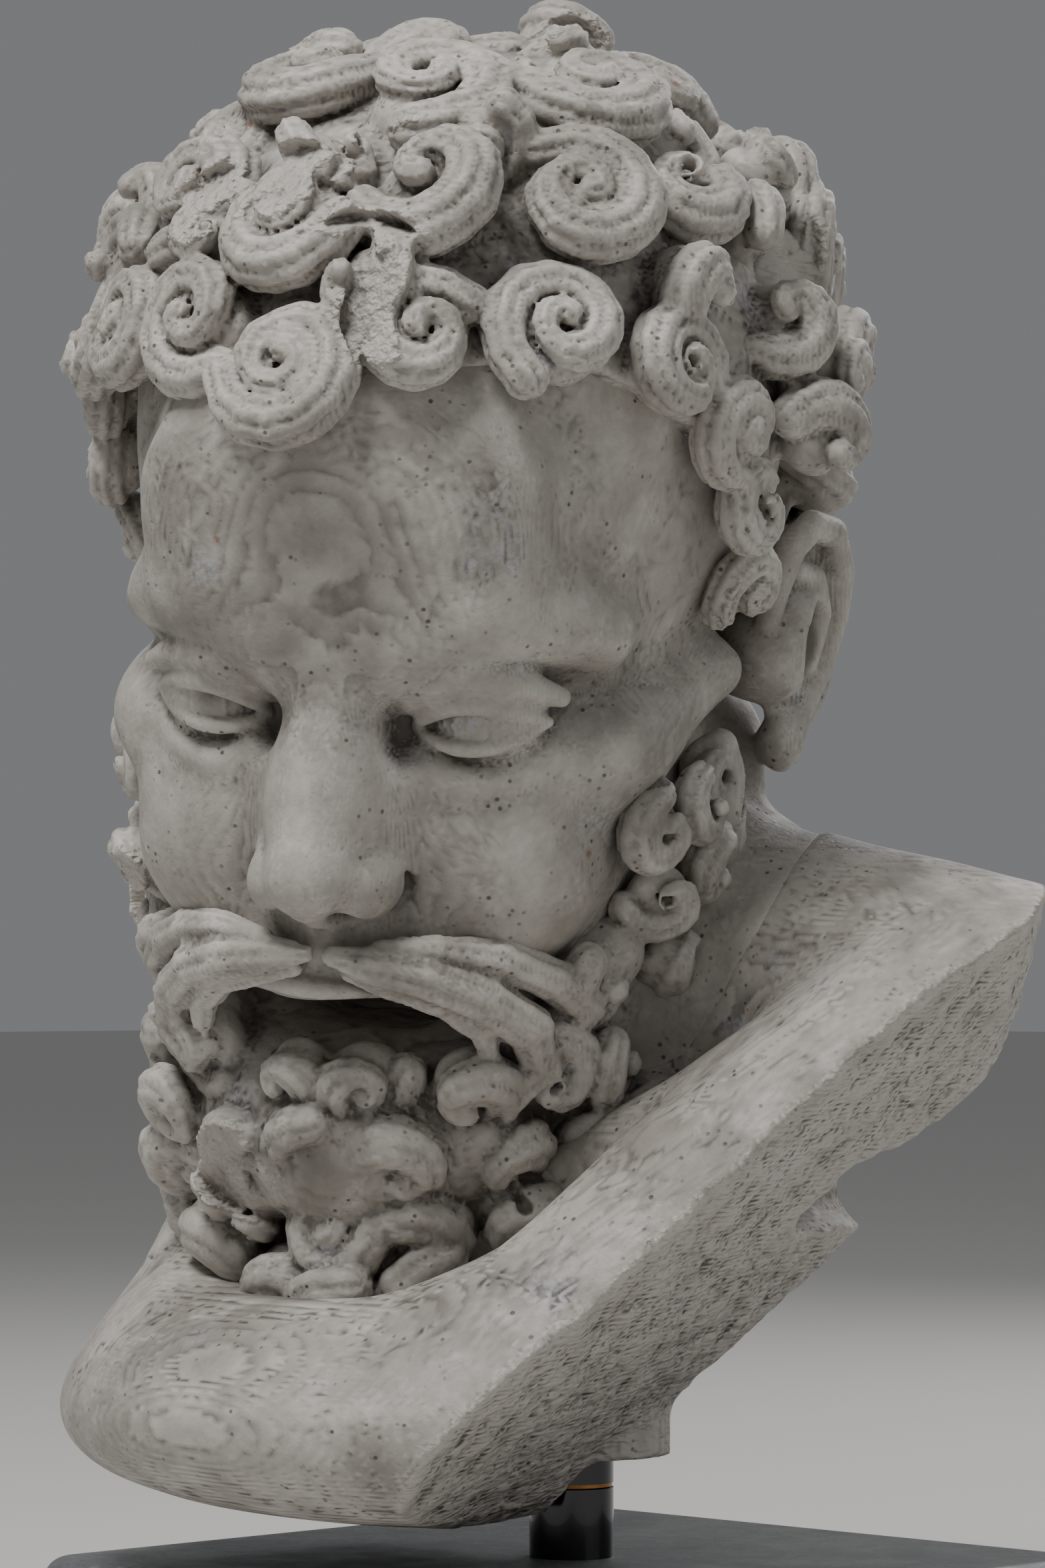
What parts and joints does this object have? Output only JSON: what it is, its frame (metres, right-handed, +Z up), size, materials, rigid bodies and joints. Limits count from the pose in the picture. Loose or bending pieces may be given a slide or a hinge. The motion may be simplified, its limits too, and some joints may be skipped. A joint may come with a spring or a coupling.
{
  "type": "portrait bust on mount",
  "caption": "Weathered marble bust of a bearded, curly-haired man, turning on a steel post over a square stone plinth.",
  "frame": {"origin": "on the post's axis, at the underside of the felt the plinth stands on", "axes": "+Z up, the chest faces -Y, the figure's left is +X"},
  "size_m": [0.2686, 0.2752, 0.483],
  "materials": {
    "marble": "weathered, dirt in the hollows",
    "resin": "cast polyester resin",
    "stainless": "turned stainless steel",
    "lead": "dull sheet lead",
    "dark_steel": "polished, blackened",
    "black_steel": "black oxide",
    "bronze": "turned bronze",
    "zinc_steel": "zinc plated",
    "plinth_stone": "honed",
    "felt": "pressed wool"
  },
  "bodies": {
    "base": {"plinth": "plinth_stone", "felt_sheet": "felt", "lower_post": "dark_steel", "support_pin": "stainless", "slip_ring": "bronze", "base_stud": "zinc_steel", "plate_washer": "zinc_steel", "spring_washer": "zinc_steel", "hex_nut": "zinc_steel"},
    "swivel": {"turning_collar": "dark_steel", "bearing_plate": "dark_steel", "seat_cushion": "lead"},
    "screw": {"lock_screw": "black_steel"},
    "bust": {"marble_bust": "marble", "resin_bond": "resin", "socket_sleeve": "stainless"}
  },
  "joints": [
    {"name": "swivel_turn", "type": "hinge", "parent": "base", "child": "swivel", "pos_m": [0, 0, 0.077], "axis": [0, 0, 1], "continuous": true},
    {"name": "bust_lift", "type": "slide", "parent": "swivel", "child": "bust", "axis": [0, 0, 1], "range_m": [0, 0.115]},
    {"name": "lock_screw_out", "type": "slide", "parent": "swivel", "child": "screw", "axis": [0, 1, 0], "range_m": [0, 0.003]}
  ]
}
